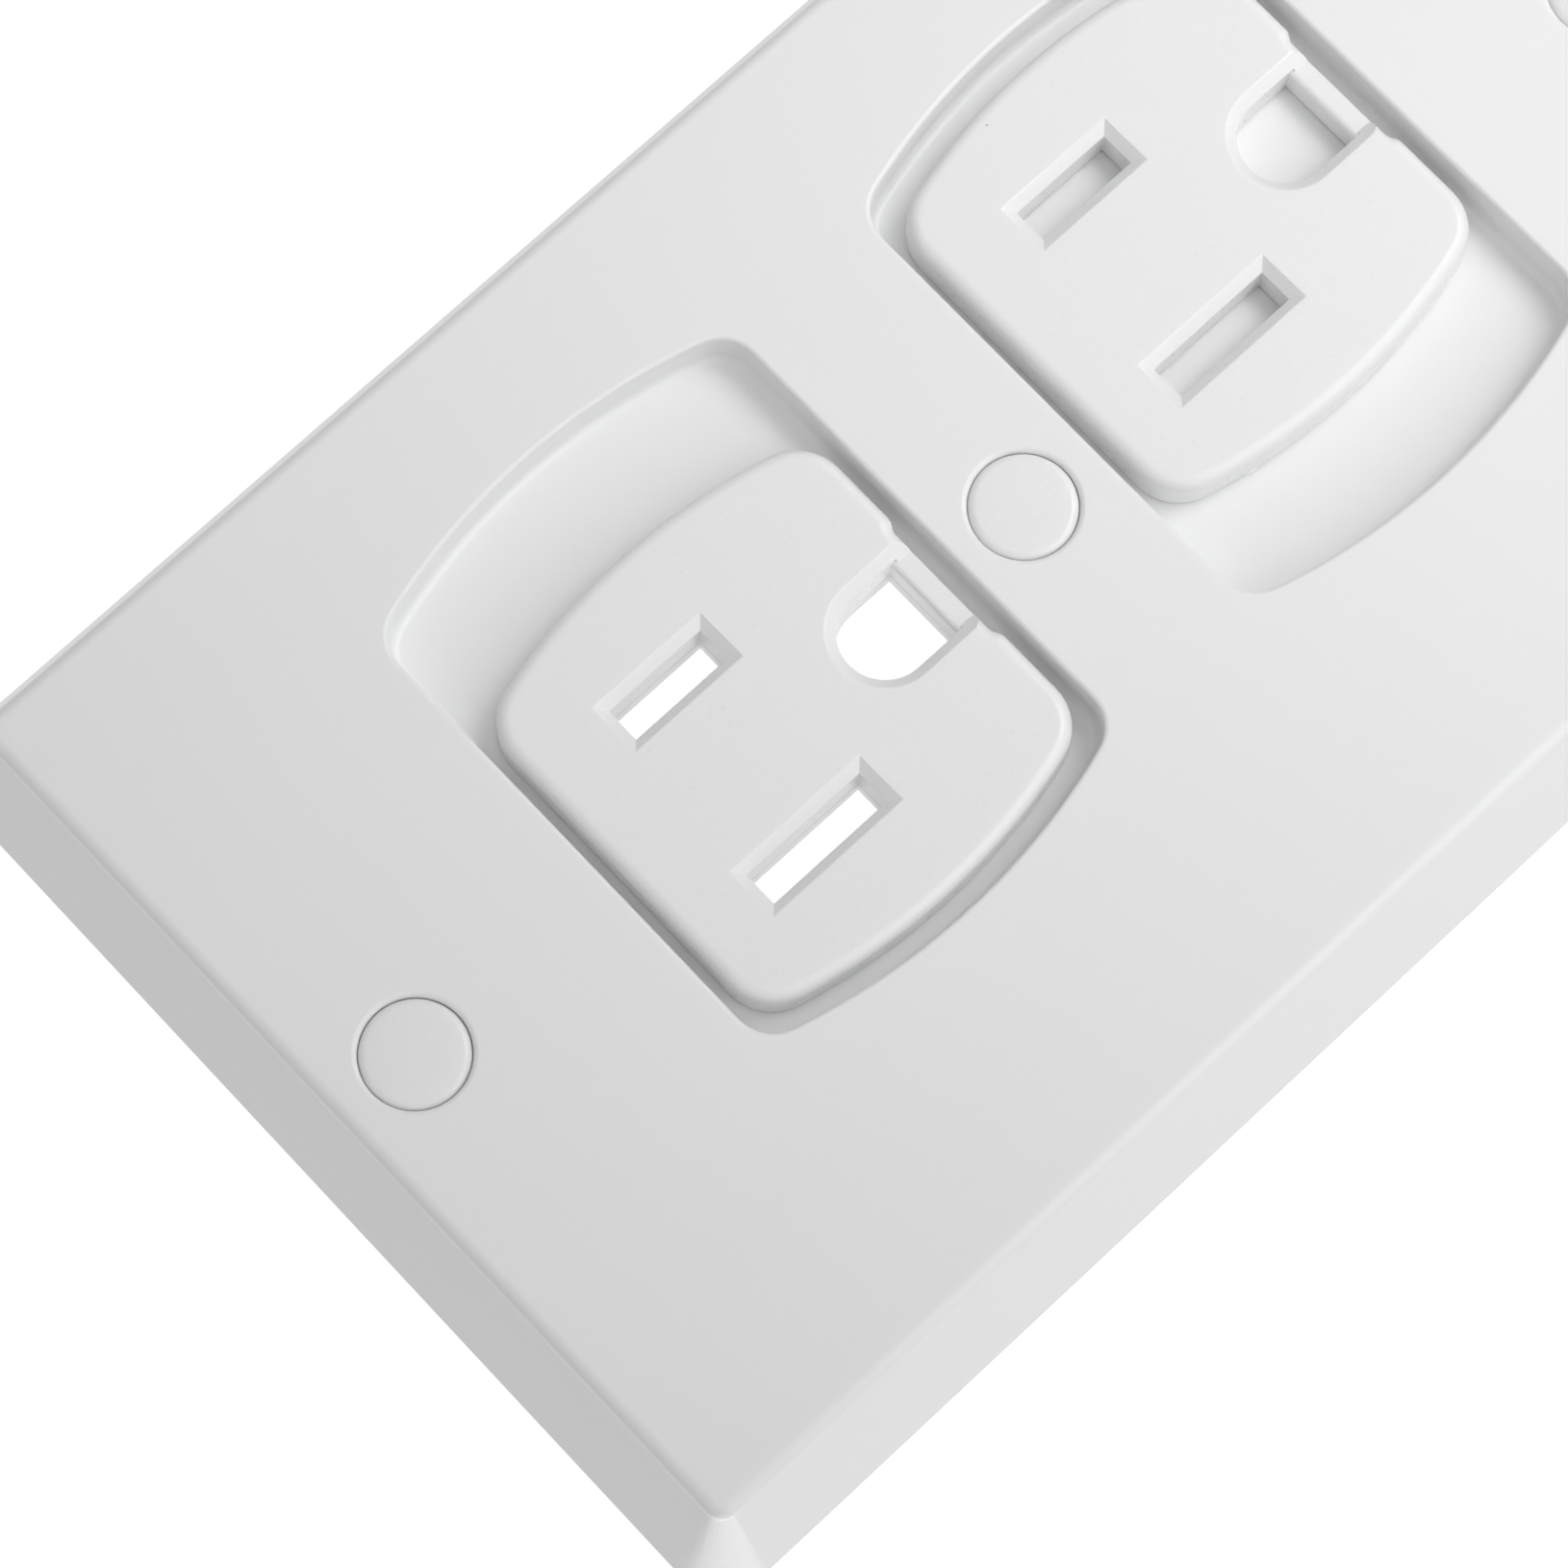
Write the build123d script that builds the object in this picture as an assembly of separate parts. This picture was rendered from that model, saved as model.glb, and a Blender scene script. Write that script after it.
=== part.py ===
"""Self-closing safety cover for a duplex outlet: a face plate with two spring-loaded sliding shutters.

Frame: X to the right and Z up as the cover hangs on the wall, Y into the wall.
The origin is on the wall plane, on the axis of the centre screw; the face looks towards -Y.
Depths are measured from the face into the plate, in millimetres.
"""

import os
from math import acos, cos, isclose, radians, sin, sqrt

from build123d import *

# Face plate
PLATE_WIDTH = 69.4
PLATE_HEIGHT = 113.9
PLATE_DEPTH = 9.5
FLANGE_SPREAD = 2.75
FACE_CORNER = 1.2
FACE_RAISE = 1.0
FACE_EDGE_ROUND = 0.9
FACE_WALL = 1.8
FLANGE_WALL = 1.8
BACK_LAND = 0.5
BACK_EDGE_ROUND = 0.2

# Shutters: two, one over each set of contacts
CENTRE_LAND = 10.7
UNIT_DROP = 0.12
SHUTTER_WIDTH = 28.0
SHUTTER_HEIGHT = 26.2
SHUTTER_BOW = 40.5
SHUTTER_CORNER = 3.4
SHUTTER_THICKNESS = 2.9
SHUTTER_EDGE_ROUND = 0.85
SHUTTER_SKIN = 1.5
SHUTTER_RIM = 1.3
COLLAR_WALL = 0.9
STROKE = 6.15

# Recess that a shutter slides in
SIDE_GAP = 1.0
OPEN_END_GAP = 1.5
CLOSED_END_GAP = 2.05
RECESS_BOW = 42.8
RECESS_CORNER = 2.6
RECESS_RIM_ROUND = 0.3
RECESS_FLOOR_ROUND = 0.6
SLIDE_GAP = 0.1
FLOOR_WALL = 1.4
TUB_WALL = 1.2

# Contact openings, in the shutter and in the recess floor
BLADE_PITCH = 12.7
BLADE_RISE = 3.38
BLADE_SLOT_WIDTH = 2.32
HOT_SLOT_LENGTH = 7.24
NEUTRAL_SLOT_LENGTH = 8.97
FLOOR_SLOT_COVER = 0.3
FLOOR_SLOT_CORNER = 0.6
FUNNEL = 0.68
GROUND_DROP = 11.46
GROUND_RADIUS = 2.87
FOOT_LAND = 1.82
GROUND_FOOT_ROUND = 0.4
CHANNEL_DEPTH = 0.9
CHANNEL_FLARE = 0.9
NOTCH_DEPTH = 0.38
NOTCH_ROUND = 0.82
NOTCH_MARGIN = 0.35

# Stems that carry the keeper through the floor
STEM = 2.2
STEM_OFFSET = 4.85
UPPER_STEM_RISE = 9.72
LOWER_STEM_DROP = 2.72
GUIDE_GAP = 0.1
PILOT_RADIUS = 0.5

# Keeper behind the floor
KEEPER_THICKNESS = 1.2
KEEPER_GAP = 0.15
KEEPER_BAR = 3.5
KEEPER_LEG = 3.4
KEEPER_LEG_OFFSET = 9.9
KEEPER_CORNER = 0.8

# Keeper screws
SCREW_RADIUS = 0.46
SCREW_HEAD_RADIUS = 1.1
SCREW_HEAD_HEIGHT = 0.64
SCREW_LENGTH = 4.0
SCREW_RECESS = 0.32
SCREW_HEAD_GAP = 0.05

# Return springs
SPRING_WIRE = 0.35
SPRING_COIL = 1.9
SPRING_CLOSED_PITCH = 0.7
SPRING_MARGIN = 1.75
SPRING_DEPTH = 3.15
SPRING_NECK = 0.55
SPRING_BEND = 0.35
PEG_RADIUS = 0.55
PEG_MARGIN = 4.55
PEG_BARB = 0.16
PEG_SHOULDER = 1.25
PEG_TOP_GAP = 0.3

# Fixing holes and the caps over them
FIXING_MARGIN = 5.78
CAP_RADIUS = 3.31
CAP_GAP = 0.05
CAP_THICKNESS = 1.2
CAP_EDGE = 0.3
END_CAP_DOME = 0.14
CENTRE_CAP_DOME = 0.06
CAP_SKIRT = 1.0
CAP_SKIRT_WALL = 0.6
CAP_SLIT = 0.9
CAP_LEDGE = 0.36
SKIRT_GAP = 0.1
SEAT_ROUND = 0.25
HEAD_POCKET_DEPTH = 4.4
FIXING_HOLE_RADIUS = 1.95
BOSS_WALL = 1.3
BOSS_FLOOR = 1.1
RIB_WALL = 1.1

# Sizes that follow from the driving sizes
FACE_WIDTH = PLATE_WIDTH - 2 * FLANGE_SPREAD
FACE_HEIGHT = PLATE_HEIGHT - 2 * FLANGE_SPREAD
FIXING_PITCH = FACE_HEIGHT - 2 * FIXING_MARGIN
RECESS_WIDTH = SHUTTER_WIDTH + STROKE + OPEN_END_GAP + CLOSED_END_GAP
RECESS_HEIGHT = SHUTTER_HEIGHT + 2 * SIDE_GAP
RECESS_SHIFT = (STROKE + CLOSED_END_GAP - OPEN_END_GAP) / 2
RECESS_DEPTH = SHUTTER_THICKNESS + SLIDE_GAP
UNIT_PITCH = RECESS_HEIGHT + CENTRE_LAND
FLOOR_BACK = RECESS_DEPTH + FLOOR_WALL
KEEPER_FRONT = FLOOR_BACK + KEEPER_GAP
KEEPER_BACK = KEEPER_FRONT + KEEPER_THICKNESS
GROUND_Z = BLADE_RISE - GROUND_DROP
SHUTTER_FOOT = -SHUTTER_HEIGHT / 2
GROUND_FLAT = GROUND_Z - SHUTTER_FOOT - FOOT_LAND
CAP_POCKET_RADIUS = CAP_RADIUS + CAP_GAP
HEAD_POCKET_RADIUS = CAP_POCKET_RADIUS - CAP_LEDGE
CUT = 1.0
FUNNEL_START = 0.2
SPRING_RISE = RECESS_HEIGHT / 2 + TUB_WALL + SPRING_MARGIN
PEG_REACH = FACE_WIDTH / 2 - PEG_MARGIN - KEEPER_LEG_OFFSET
SPRING_LEAD = SPRING_COIL / 2 + SPRING_NECK
SPRING_TURNS = int((PEG_REACH - STROKE - 2 * SPRING_LEAD) / SPRING_CLOSED_PITCH)

UNITS = {"upper": (UNIT_PITCH / 2 - UNIT_DROP, 0.0), "lower": (-UNIT_PITCH / 2 - UNIT_DROP, STROKE)}
FIXINGS = {"top": FIXING_PITCH / 2, "centre": 0.0, "bottom": -FIXING_PITCH / 2}
STEM_PLACES = ((0, UPPER_STEM_RISE), (STEM_OFFSET, -LOWER_STEM_DROP))
CAP_DOMES = {"top": END_CAP_DOME, "centre": CENTRE_CAP_DOME, "bottom": END_CAP_DOME}


def facing(depth):
    """Sketch plane at a depth: its x is X, its y is Z, and it looks out of the face."""
    return Plane(origin=(0, depth - PLATE_DEPTH, 0), x_dir=(1, 0, 0), z_dir=(0, -1, 0))


def slab(outline, near, far):
    """Solid of an outline between two depths."""
    return extrude(facing(far) * outline, amount=far - near)


def funnel(outline_at, depth):
    """Cutter that narrows by 45 degrees from above the face to a depth; outline_at gives each level."""
    levels = [facing(d) * outline_at(d) for d in (-FUNNEL_START, depth)]
    return loft(levels, ruled=True)


def edges_at(part, depth):
    """Edges of a part that lie flat at one depth."""
    y = depth - PLATE_DEPTH
    return part.edges().filter_by_position(Axis.Y, y - 0.001, y + 0.001)


def bowed_outline(width, height, bow, corner, foot=()):
    """Flat top and bottom, and left and right ends that are arcs, with rounded corners.

    The edges of a foot, from its right end to its left, take the place of the middle of the bottom.
    """
    half_w, half_h = width / 2, height / 2
    end = half_w - bow + sqrt(bow**2 - half_h**2)
    right, left = (end, -half_h), (-end, -half_h)
    bottom = [Line(right, left)]
    if foot:
        bottom = [Line(right, foot[0] @ 0), *foot, Line(foot[-1] @ 1, left)]
    outline = make_face(
        [
            Line((-end, half_h), (end, half_h)),
            ThreePointArc((end, half_h), (half_w, 0), right),
            *bottom,
            ThreePointArc(left, (-half_w, 0), (-end, half_h)),
        ]
    )
    corners = [v for v in outline.vertices() if isclose(abs(v.X), end)]
    return fillet(corners, corner)


def notch():
    """Middle of the shutter's lower edge, set back between two S-shaped steps, from right to left."""
    turn = acos(1 - NOTCH_DEPTH / (2 * NOTCH_ROUND))
    flat = GROUND_RADIUS + FUNNEL + NOTCH_MARGIN
    half_step = NOTCH_ROUND * sin(turn)
    bulge_x, bulge_z = NOTCH_ROUND * sin(turn / 2), NOTCH_ROUND * (1 - cos(turn / 2))
    start, middle, end = flat + 2 * half_step, flat + half_step, flat
    low, level, high = SHUTTER_FOOT, SHUTTER_FOOT + NOTCH_DEPTH / 2, SHUTTER_FOOT + NOTCH_DEPTH
    return [
        ThreePointArc((start, low), (start - bulge_x, low + bulge_z), (middle, level)),
        ThreePointArc((middle, level), (end + bulge_x, high - bulge_z), (end, high)),
        Line((end, high), (-end, high)),
        ThreePointArc((-end, high), (-end - bulge_x, high - bulge_z), (-middle, level)),
        ThreePointArc((-middle, level), (bulge_x - start, low + bulge_z), (-start, low)),
    ]


def shutter_outline(inset=0.0, foot=()):
    return bowed_outline(
        SHUTTER_WIDTH - 2 * inset,
        SHUTTER_HEIGHT - 2 * inset,
        SHUTTER_BOW - inset,
        SHUTTER_CORNER - inset,
        foot,
    )


def recess_outline(spread=0.0):
    outline = bowed_outline(
        RECESS_WIDTH + 2 * spread,
        RECESS_HEIGHT + 2 * spread,
        RECESS_BOW + spread,
        RECESS_CORNER + spread,
    )
    return Pos(RECESS_SHIFT, 0) * outline


def blade_slot(side, spread=0.0):
    """The hot slot is on the right, side 1, and the longer neutral slot on the left, side -1."""
    length = HOT_SLOT_LENGTH if side > 0 else NEUTRAL_SLOT_LENGTH
    slot = Rectangle(BLADE_SLOT_WIDTH + 2 * spread, length + 2 * spread)
    return Pos(side * BLADE_PITCH / 2, BLADE_RISE) * slot


def blade_slots(spread=0.0):
    return [blade_slot(side, spread) for side in (-1, 1)]


def floor_slot(side):
    """Slot in the floor, narrower on the left and rounded, so that the closed shutter covers it."""
    slot = blade_slot(side) - Pos(FLOOR_SLOT_COVER - BLADE_SLOT_WIDTH, 0) * blade_slot(side)
    return fillet(slot.vertices(), FLOOR_SLOT_CORNER)


def ground_outline(spread=0.0):
    """D shape: an arc above, straight sides and a flat foot."""
    r, foot = GROUND_RADIUS + spread, -GROUND_FLAT - spread
    outline = make_face(
        [
            Line((-r, foot), (r, foot)),
            Line((r, foot), (r, 0)),
            ThreePointArc((r, 0), (0, r), (-r, 0)),
            Line((-r, 0), (-r, foot)),
        ]
    )
    return Pos(0, GROUND_Z) * outline


def channel_outline(inset=0.0):
    """U shape around the ground hole that runs out over the shutter's lower edge and flares there."""
    r = GROUND_RADIUS + FUNNEL - inset
    edge = SHUTTER_FOOT - GROUND_Z
    flare = CHANNEL_FLARE + inset
    turn_x, turn_z = r + flare, edge + CHANNEL_FLARE
    mid_x, mid_z = turn_x - flare * cos(radians(45)), turn_z - flare * sin(radians(45))
    low, beyond = turn_z - flare, edge - inset - CUT
    outline = make_face(
        [
            ThreePointArc((r, 0), (0, r), (-r, 0)),
            Line((-r, 0), (-r, turn_z)),
            ThreePointArc((-r, turn_z), (-mid_x, mid_z), (-turn_x, low)),
            Line((-turn_x, low), (-turn_x, beyond)),
            Line((-turn_x, beyond), (turn_x, beyond)),
            Line((turn_x, beyond), (turn_x, low)),
            ThreePointArc((turn_x, low), (mid_x, mid_z), (r, turn_z)),
            Line((r, turn_z), (r, 0)),
        ]
    )
    return Pos(0, GROUND_Z) * outline


def stem_squares(size):
    return [Pos(x, z) * Rectangle(size, size) for x, z in STEM_PLACES]


def guide_slots():
    """Slots in the floor, each as long as the stroke of the stem that runs in it."""
    length, width = STEM + STROKE + 2 * GUIDE_GAP, STEM + 2 * GUIDE_GAP
    return [Pos(x + STROKE / 2, z) * Rectangle(length, width) for x, z in STEM_PLACES]


def plate_section(spread):
    """Outline of the face's edge, spread sideways by the flange, with round corners."""
    width, height = FACE_WIDTH + 2 * spread, FACE_HEIGHT + 2 * spread
    return RectangleRounded(width, height, max(FACE_CORNER + spread, FACE_CORNER))


def flange_form(wall, front):
    """Drafted form inside a wall of the flange, from a depth to the land at the back edge."""
    land = PLATE_DEPTH - BACK_LAND
    lead = FLANGE_SPREAD * (front - FACE_RAISE) / (land - FACE_RAISE)
    draft = loft(
        [facing(land) * plate_section(FLANGE_SPREAD - wall), facing(front) * plate_section(lead - wall)],
        ruled=True,
    )
    return draft + slab(plate_section(FLANGE_SPREAD - wall), land, PLATE_DEPTH)


def plate_shell():
    """Raised face and drafted flange, hollow from behind."""
    flange = flange_form(0, FACE_RAISE)
    flange = fillet(edges_at(flange, PLATE_DEPTH), BACK_EDGE_ROUND)
    raised = slab(plate_section(0), 0, FACE_RAISE)
    raised = fillet(edges_at(raised, 0), FACE_EDGE_ROUND)
    return flange + raised - flange_form(FLANGE_WALL, FACE_WALL)


def tub(zc):
    """Outer form of a recess on the back of the face."""
    return slab(Pos(0, zc) * recess_outline(TUB_WALL), FACE_WALL / 2, FLOOR_BACK)


def recess(zc):
    cutter = slab(Pos(0, zc) * recess_outline(), -CUT, RECESS_DEPTH)
    return fillet(edges_at(cutter, RECESS_DEPTH), RECESS_FLOOR_ROUND)


def floor_openings(zc):
    outlines = [floor_slot(-1), floor_slot(1), ground_outline()] + guide_slots()
    return [slab(Pos(0, zc) * o, FACE_WALL, FLOOR_BACK + CUT) for o in outlines]


def spring_peg(zc):
    """Peg with a barbed tip on the back of the face, for the fixed end of a spring."""
    place = Pos(KEEPER_LEG_OFFSET + PEG_REACH, zc + SPRING_RISE)
    shoulder_end = SPRING_DEPTH - SPRING_WIRE
    barb = SPRING_DEPTH + SPRING_WIRE
    shoulder = slab(place * Circle(PEG_SHOULDER), FACE_WALL / 2, shoulder_end)
    neck = slab(place * Circle(PEG_RADIUS), FACE_WALL / 2, barb)
    tip = loft(
        [
            facing(barb) * place * Circle(PEG_RADIUS + PEG_BARB),
            facing(barb + SPRING_COIL / 2) * place * Circle(PEG_RADIUS / 2),
        ],
        ruled=True,
    )
    return shoulder + neck + tip


def fixing_boss(z):
    radius = CAP_POCKET_RADIUS + BOSS_WALL
    return slab(Pos(0, z) * Circle(radius), FACE_WALL / 2, HEAD_POCKET_DEPTH + BOSS_FLOOR)


def fixing_pocket(z):
    """Seat of the cap, pocket of the screw head below it, and the screw's hole."""
    cap_seat = slab(Pos(0, z) * Circle(CAP_POCKET_RADIUS), -CUT, CAP_THICKNESS)
    head = slab(Pos(0, z) * Circle(HEAD_POCKET_RADIUS), -CUT, HEAD_POCKET_DEPTH)
    hole = slab(Pos(0, z) * Circle(FIXING_HOLE_RADIUS), -CUT, PLATE_DEPTH)
    return cap_seat + head + hole


def ribs():
    """Cross ribs from the end bosses and the tubs to the flange, on the back of the face."""
    rib = Rectangle(FACE_WIDTH - 2 * FACE_EDGE_ROUND, RIB_WALL)
    levels = [FIXINGS["top"], FIXINGS["bottom"]] + [zc for zc, _ in UNITS.values()]
    return [slab(Pos(0, z) * rib, FACE_WALL / 2, FLOOR_BACK) for z in levels]


def face_plate():
    plate = plate_shell()
    plate += ribs()
    plate += [tub(zc) for zc, _ in UNITS.values()]
    plate += [fixing_boss(z) for z in FIXINGS.values()]
    plate += [spring_peg(zc) for zc, _ in UNITS.values()]
    plate -= [recess(zc) for zc, _ in UNITS.values()]
    for zc, _ in UNITS.values():
        plate = fillet(recess_rim(plate, zc), RECESS_RIM_ROUND)
        plate -= floor_openings(zc)
    plate -= [fixing_pocket(z) for z in FIXINGS.values()]
    seats = edges_at(plate, 0).filter_by(GeomType.CIRCLE)
    return fillet([e for e in seats if isclose(e.radius, CAP_POCKET_RADIUS)], SEAT_ROUND)


def recess_rim(plate, zc):
    """Edges of one recess in the plane of the face."""
    reach = RECESS_HEIGHT / 2 + SIDE_GAP
    return edges_at(plate, 0).filter_by_position(Axis.Z, zc - reach, zc + reach)


def foot_edge(body):
    """Edge between the channel's floor and the flat foot of the ground hole."""
    foot = GROUND_Z - GROUND_FLAT
    level = edges_at(body, CHANNEL_DEPTH).filter_by_position(Axis.Z, foot - 0.001, foot + 0.001)
    return level.filter_by(Axis.X)


def shutter():
    """Shutter in the open place: funnelled openings in a bowed plate, cored from behind, on stems."""
    body = slab(shutter_outline(foot=notch()), 0, SHUTTER_THICKNESS)
    body = fillet(edges_at(body, 0), SHUTTER_EDGE_ROUND)
    through = SHUTTER_THICKNESS + CUT
    core = slab(shutter_outline(SHUTTER_RIM), SHUTTER_SKIN, through)
    collars = blade_slots(COLLAR_WALL) + [ground_outline(COLLAR_WALL), channel_outline()]
    core -= [slab(collar, SHUTTER_SKIN, through) for collar in collars]
    body -= core
    body += [slab(s, SHUTTER_SKIN / 2, KEEPER_FRONT) for s in stem_squares(STEM)]
    for side in (-1, 1):
        body -= slab(blade_slot(side), -CUT, through)
        body -= funnel(lambda depth: blade_slot(side, FUNNEL - depth), FUNNEL)
    body -= funnel(channel_outline, CHANNEL_DEPTH)
    body -= slab(ground_outline(), 0, through)
    body = fillet(foot_edge(body), GROUND_FOOT_ROUND)
    pilots = [Pos(x, z) * Circle(PILOT_RADIUS) for x, z in STEM_PLACES]
    return body - [slab(pilot, SHUTTER_SKIN, KEEPER_FRONT + CUT) for pilot in pilots]


def keeper():
    """Keeper in the open place: a leg with two arms to the stems and a lug with the spring's pin."""
    leg_left = KEEPER_LEG_OFFSET - KEEPER_LEG / 2
    leg_right = KEEPER_LEG_OFFSET + KEEPER_LEG / 2
    foot = -LOWER_STEM_DROP - KEEPER_BAR / 2
    top = SPRING_RISE + KEEPER_LEG / 2
    outline = Pos(KEEPER_LEG_OFFSET, (foot + top) / 2) * Rectangle(KEEPER_LEG, top - foot)
    for x, z in STEM_PLACES:
        left = x - KEEPER_BAR / 2
        outline += Pos((left + leg_right) / 2, z) * Rectangle(leg_right - left, KEEPER_BAR)
    outline = fillet(outline.vertices(), KEEPER_CORNER)
    plate = slab(outline, KEEPER_FRONT, KEEPER_BACK)
    pin = slab(Pos(KEEPER_LEG_OFFSET, SPRING_RISE) * Circle(PEG_RADIUS),
               FACE_WALL + PEG_TOP_GAP, KEEPER_FRONT)
    plate += pin
    for x, z in STEM_PLACES:
        plate -= screw_seat(x, z)
    return plate


def screw_seat(x, z):
    hole = slab(Pos(x, z) * Circle(PILOT_RADIUS + SCREW_HEAD_GAP), KEEPER_FRONT - CUT, KEEPER_BACK)
    return hole + screw_head(x, z, SCREW_HEAD_GAP)


def screw_head(x, z, gap=0.0):
    """Countersunk head, flush with the back of the keeper."""
    start = KEEPER_BACK - SCREW_HEAD_HEIGHT
    return loft(
        [
            facing(start) * Pos(x, z) * Circle(SCREW_RADIUS + gap),
            facing(KEEPER_BACK) * Pos(x, z) * Circle(SCREW_HEAD_RADIUS + gap),
        ],
        ruled=True,
    )


def keeper_screws():
    """One countersunk screw for each stem, with a cross recess."""
    screws = []
    for x, z in STEM_PLACES:
        shank = slab(Pos(x, z) * Circle(SCREW_RADIUS), KEEPER_BACK - SCREW_LENGTH, KEEPER_BACK)
        cross = [
            slab(Pos(x, z) * Rot(0, 0, turn) * Rectangle(SCREW_HEAD_RADIUS, SCREW_RECESS),
                 KEEPER_BACK - SCREW_RECESS, KEEPER_BACK + CUT)
            for turn in (45, 135)
        ]
        screws.append(shank + screw_head(x, z) - cross)
    return Compound(screws)


def screw_cap(dome):
    """Cap on the centre axis: a slightly domed disc with a split skirt that grips in the pocket."""
    ball_radius = (CAP_RADIUS**2 + dome**2) / (2 * dome)
    ball = Pos(0, ball_radius - PLATE_DEPTH, 0) * Sphere(ball_radius)
    disc = slab(Circle(CAP_RADIUS), -CUT, CAP_THICKNESS) & ball
    disc = fillet(edges_at(disc, dome), CAP_EDGE)
    skirt_radius = HEAD_POCKET_RADIUS - SKIRT_GAP
    skirt_end = CAP_THICKNESS + CAP_SKIRT
    skirt = slab(Circle(skirt_radius), CAP_THICKNESS, skirt_end)
    skirt -= slab(Circle(skirt_radius - CAP_SKIRT_WALL), CAP_THICKNESS, skirt_end)
    skirt -= [
        slab(Rot(0, 0, turn) * Rectangle(2 * CAP_RADIUS, CAP_SLIT), CAP_THICKNESS, skirt_end)
        for turn in (0, 90)
    ]
    return disc + skirt


def spring_end(radius):
    """Wire path from the coil's end at the origin, heading along Y: a bend to X and a loop in the XZ plane."""
    bend_mid = SPRING_BEND * (1 - cos(radians(45)))
    lead = SPRING_LEAD
    bent = (SPRING_BEND, SPRING_BEND, 0)
    loop_start = (lead, SPRING_BEND, 0)
    return [
        ThreePointArc((0, 0, 0), (bend_mid, SPRING_BEND * sin(radians(45)), 0), bent),
        Line(bent, loop_start),
        ThreePointArc(
            loop_start,
            (lead + radius * sin(radians(135)), SPRING_BEND, radius * (1 - cos(radians(135)))),
            (lead - radius, SPRING_BEND, radius),
        ),
    ]


def return_spring(zc, shift):
    """Extension spring from the keeper's pin to the peg on the face plate, with a loop at each end."""
    length = PEG_REACH - shift
    radius = SPRING_COIL / 2
    lead = SPRING_LEAD
    body = length - 2 * lead
    helix = Helix(pitch=body / SPRING_TURNS, height=body, radius=radius)
    coil = Pos(lead, 0, 0) * Rot(0, 90, 0) * helix
    far_end = [Pos(lead + body, 0, -radius) * edge for edge in spring_end(radius)]
    near_end = [Pos(lead, 0, -radius) * Rot(0, 0, 180) * edge for edge in spring_end(radius)]
    path = Wire([e for part in near_end + [coil] + far_end for e in part.edges()])
    start = path @ 0
    section = Plane(start, z_dir=path % 0) * Circle(SPRING_WIRE / 2)
    spring = sweep(section, path=path)
    place = Pos(KEEPER_LEG_OFFSET + shift, SPRING_DEPTH - PLATE_DEPTH, zc + SPRING_RISE)
    return place * spring


def write(name, solid):
    solid.label = name
    export_step(solid, f"parts/{name}.step")


def main():
    os.makedirs("parts", exist_ok=True)
    write("face_plate", face_plate())
    for side, (zc, shift) in UNITS.items():
        place = Pos(shift, 0, zc)
        write(f"{side}_shutter", place * shutter())
        write(f"{side}_keeper", place * keeper())
        write(f"{side}_keeper_screws", place * keeper_screws())
        write(f"{side}_return_spring", return_spring(zc, shift))
    for name, z in FIXINGS.items():
        write(f"{name}_screw_cap", Pos(0, 0, z) * screw_cap(CAP_DOMES[name]))


if __name__ == "__main__":
    main()
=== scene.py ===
"""Dressed model of a self-closing outlet safety cover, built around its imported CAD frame.

Meshes are worked out in millimetres from the sizes in the classes below and put into Blender in metres.
X runs to the right and Z up as the cover hangs, and Y into the wall. Depths count from the face inwards.
"""

import logging
import math
from collections.abc import Sequence
from dataclasses import dataclass, field
from enum import Enum

import bpy
import numpy as np
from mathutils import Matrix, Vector
from numpy.typing import NDArray


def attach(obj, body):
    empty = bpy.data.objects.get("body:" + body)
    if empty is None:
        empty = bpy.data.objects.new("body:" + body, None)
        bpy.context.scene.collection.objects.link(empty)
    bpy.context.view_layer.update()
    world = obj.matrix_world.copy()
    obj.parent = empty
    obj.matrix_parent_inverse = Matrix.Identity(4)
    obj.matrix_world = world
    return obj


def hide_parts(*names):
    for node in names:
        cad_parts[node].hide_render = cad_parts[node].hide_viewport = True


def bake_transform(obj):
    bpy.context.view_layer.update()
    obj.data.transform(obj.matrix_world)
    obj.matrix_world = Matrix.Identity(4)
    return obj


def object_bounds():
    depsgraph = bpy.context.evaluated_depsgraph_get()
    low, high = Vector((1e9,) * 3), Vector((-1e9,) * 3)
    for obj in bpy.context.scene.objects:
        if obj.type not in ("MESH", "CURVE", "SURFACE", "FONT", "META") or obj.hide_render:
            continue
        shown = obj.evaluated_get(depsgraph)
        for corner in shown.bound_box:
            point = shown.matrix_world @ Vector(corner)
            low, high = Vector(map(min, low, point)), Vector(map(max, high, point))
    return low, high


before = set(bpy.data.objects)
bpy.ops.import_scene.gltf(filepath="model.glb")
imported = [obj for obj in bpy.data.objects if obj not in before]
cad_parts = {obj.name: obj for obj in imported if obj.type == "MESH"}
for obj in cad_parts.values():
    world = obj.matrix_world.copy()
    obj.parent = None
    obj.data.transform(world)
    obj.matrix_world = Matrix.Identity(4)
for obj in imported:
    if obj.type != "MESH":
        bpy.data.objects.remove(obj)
CAD_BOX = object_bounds()

Array = NDArray[np.float64]
log = logging.getLogger("outlet_cover")

MM = 0.001
CUT = 1.0
ARC_STEPS = 8
SHARP_ANGLE = math.radians(32)
WIRE_SHARP_ANGLE = math.radians(60)


class Body(Enum):
    """Bodies of the frame that the pieces ride on."""

    PLATE = "plate"
    UPPER = "upper_slider"
    LOWER = "lower_slider"


class Join(Enum):
    """Ways to combine two solids."""

    ADD = "UNION"
    TAKE = "DIFFERENCE"


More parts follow.
